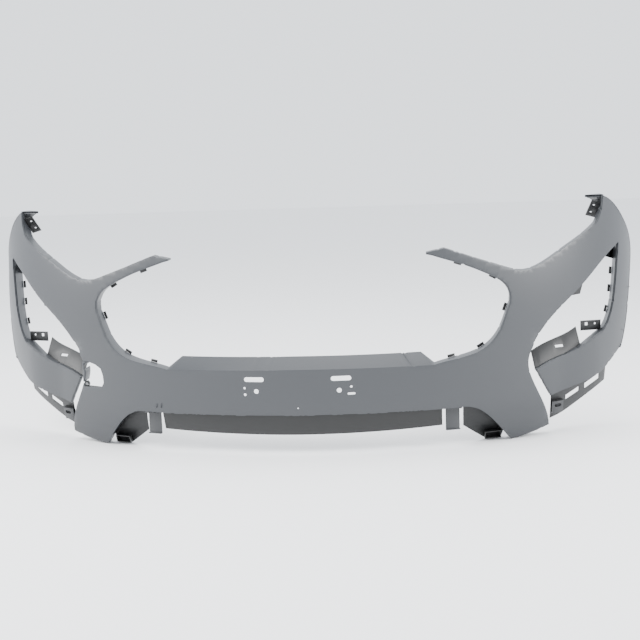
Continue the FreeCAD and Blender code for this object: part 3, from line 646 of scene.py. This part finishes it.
@dataclass(frozen=True)
class Moulded:
    """A small piece refined from its CAD solid: merged, rounded and creased.

    Attributes:
        node: the CAD node it stands for.
        radius: edge rounding in millimetres.
        round_above: angle above which an edge is rounded, in degrees.
        crease_angle: angle above which an edge stays sharp, in degrees.
        flat_angle: faces that turn by less than this become one, in degrees.
        merge: points that are closer than this become one, in metres.
    """

    node: str
    radius: float = 0.6
    round_above: float = 35.0
    crease_angle: float = 40.0
    flat_angle: float = 1.0
    merge: float = 0.00001

    def build(self, frame_nodes: dict[str, bpy.types.Object]) -> bpy.types.Object:
        """Makes the piece from a copy of its node's mesh.

        Args:
            frame_nodes: the CAD nodes by name.

        Returns:
            The finished piece, in its node's place.
        """
        mesh = frame_nodes[self.node].data.copy()
        work = bmesh.new()
        work.from_mesh(mesh)
        bmesh.ops.remove_doubles(work, verts=work.verts[:], dist=self.merge)
        flat = math.radians(self.flat_angle)
        bmesh.ops.dissolve_limit(work, angle_limit=flat, verts=work.verts[:], edges=work.edges[:])
        bmesh.ops.recalc_face_normals(work, faces=work.faces[:])
        work.to_mesh(mesh)
        work.free()
        mesh.materials.clear()
        blank = bpy.data.objects.new(self.node + "_form", mesh)
        bpy.context.scene.collection.objects.link(blank)
        round_edges(blank, self.radius, self.round_above, 2)
        return baked(blank, self.node + "_moulded", self.crease_angle)


# ---------------------------------------------------------------- studio
@dataclass(frozen=True)
class Lamp:
    """A square area light.

    Attributes:
        name: name of the light.
        spot: its place in metres.
        target: what it is aimed at.
        size: its width in metres.
        power: its power in watts.
    """

    name: str
    spot: Place
    target: Place
    size: float
    power: float

    def build(self) -> None:
        """Puts the light into the scene."""
        lamp = bpy.data.lights.new(self.name, "AREA")
        lamp.size = self.size
        lamp.energy = self.power
        holder = bpy.data.objects.new(self.name, lamp)
        holder.location = self.spot
        aim = Vector(self.target) - Vector(self.spot)
        holder.rotation_euler = aim.to_track_quat("-Z", "Y").to_euler()
        bpy.context.scene.collection.objects.link(holder)


LAMPS = (
    Lamp("key", (-1.8, -2.2, 3.0), (0, 0, 0.3), 2.2, 130),
    Lamp("fill", (3.0, -0.9, 1.5), (0.6, 0, 0.4), 1.2, 110),
    Lamp("rim", (-3.0, -0.7, 1.5), (-0.7, 0, 0.4), 1.0, 90),
    Lamp("top", (0.3, 0.6, 3.4), (0, 0, 0.3), 3.0, 60),
)


@dataclass(frozen=True)
class View:
    """The camera, a little above the cover and to the right of its middle.

    Attributes:
        spot: its place in metres.
        yaw: turn to the left, in degrees.
        pitch: tilt down, in degrees.
        roll: roll about the line of sight, in degrees.
        lens: focal length in millimetres.
        sensor: sensor width in millimetres.
        reach: farthest distance that it sees, in metres.
    """

    spot: Place = (0.302, -2.942, 0.716)
    yaw: float = 5.13
    pitch: float = 8.0
    roll: float = -1.91
    lens: float = 64.69
    sensor: float = 36.0
    reach: float = 60.0

    def build(self) -> None:
        """Puts the camera into the scene."""
        yaw, pitch, roll = (math.radians(angle) for angle in (self.yaw, self.pitch, self.roll))
        flat = math.cos(pitch)
        ahead = Vector((-math.sin(yaw) * flat, math.cos(yaw) * flat, -math.sin(pitch)))
        right = Vector((math.cos(yaw), math.sin(yaw), 0))
        up = right.cross(ahead)
        level = right * math.cos(roll) + up * math.sin(roll)
        upright = up * math.cos(roll) - right * math.sin(roll)
        lens = bpy.data.cameras.new("camera")
        lens.lens = self.lens
        lens.sensor_width = self.sensor
        lens.clip_end = self.reach
        camera = bpy.data.objects.new("camera", lens)
        turned = Matrix((level, upright, -ahead)).transposed().to_4x4()
        camera.matrix_world = Matrix.Translation(self.spot) @ turned
        bpy.context.scene.collection.objects.link(camera)
        bpy.context.scene.camera = camera


@dataclass(frozen=True)
class Studio:
    """Pale floor, soft lights, pale sky and the camera.

    Attributes:
        floor_size: half width of the floor in metres.
        floor_tone: its colour, linear.
        floor_roughness: its roughness.
        sky: colour of the world.
        sky_strength: strength of the world's light.
    """

    floor_size: float = 14.0
    floor_tone: float = 0.92
    floor_roughness: float = 0.8
    sky: tuple[float, float, float, float] = (0.86, 0.9, 0.95, 1)
    sky_strength: float = 2.1

    def build(self) -> None:
        """Puts the floor, world, lights and camera into the scene."""
        self._floor()
        self._world()
        for lamp in LAMPS:
            lamp.build()
        View().build()

    def _floor(self) -> None:
        """Adds the floor."""
        plane = bpy.data.meshes.new("floor")
        work = bmesh.new()
        bmesh.ops.create_grid(work, x_segments=1, y_segments=1, size=self.floor_size)
        work.to_mesh(plane)
        work.free()
        floor = bpy.data.objects.new("floor", plane)
        bpy.context.scene.collection.objects.link(floor)
        paint = bpy.data.materials.new("floor")
        paint.use_nodes = True
        shader = paint.node_tree.nodes["Principled BSDF"]
        shader.inputs["Base Color"].default_value = (self.floor_tone,) * 3 + (1,)
        shader.inputs["Roughness"].default_value = self.floor_roughness
        plane.materials.append(paint)

    def _world(self) -> None:
        """Adds the world's even light."""
        world = bpy.data.worlds.new("studio")
        world.use_nodes = True
        background = world.node_tree.nodes["Background"]
        background.inputs["Color"].default_value = self.sky
        background.inputs["Strength"].default_value = self.sky_strength
        bpy.context.scene.world = world


# ---------------------------------------------------------------- assembly
@dataclass
class BumperCover:
    """Every piece of the cover, each standing for its CAD node.

    Attributes:
        frame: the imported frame, as loaded.
    """

    frame: dict

    def slot_of(self, node: str) -> str:
        """The record's material slot of a node.

        Args:
            node: name of the CAD node.

        Returns:
            The slot's name, which is also its finish's.
        """
        rows = self.frame["record"]["subparts"]
        return next(row["material_slot"] for row in rows if row["node"] == node)

    def add(self, piece: bpy.types.Object, node: str, materials: dict[str, bpy.types.Material]) -> None:
        """Gives a piece its finish and puts it in its node's place.

        Args:
            piece: the finished piece.
            node: the CAD node that it stands for.
            materials: the materials by slot.
        """
        slot = self.slot_of(node)
        piece.data.materials.clear()
        piece.data.materials.append(materials[slot])
        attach(piece, "root")
        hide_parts(node)
        LOG.info("%s stands for %s: %d faces", piece.name, node, len(piece.data.polygons))

    def build(self) -> None:
        """Builds every piece."""
        materials = {finish.name: finish.build() for finish in FINISH_LIST}
        self.add(Fascia(Form()).build(), "fascia", materials)
        for node in self.frame["nodes"]:
            if node != "fascia":
                self.add(Moulded(node).build(self.frame["nodes"]), node, materials)


def main() -> None:
    """Builds the cover and its studio."""
    logging.basicConfig(level=logging.INFO, format="%(name)s: %(message)s")
    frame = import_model()
    BumperCover(frame).build()
    Studio().build()


if __name__ == "__main__":
    main()
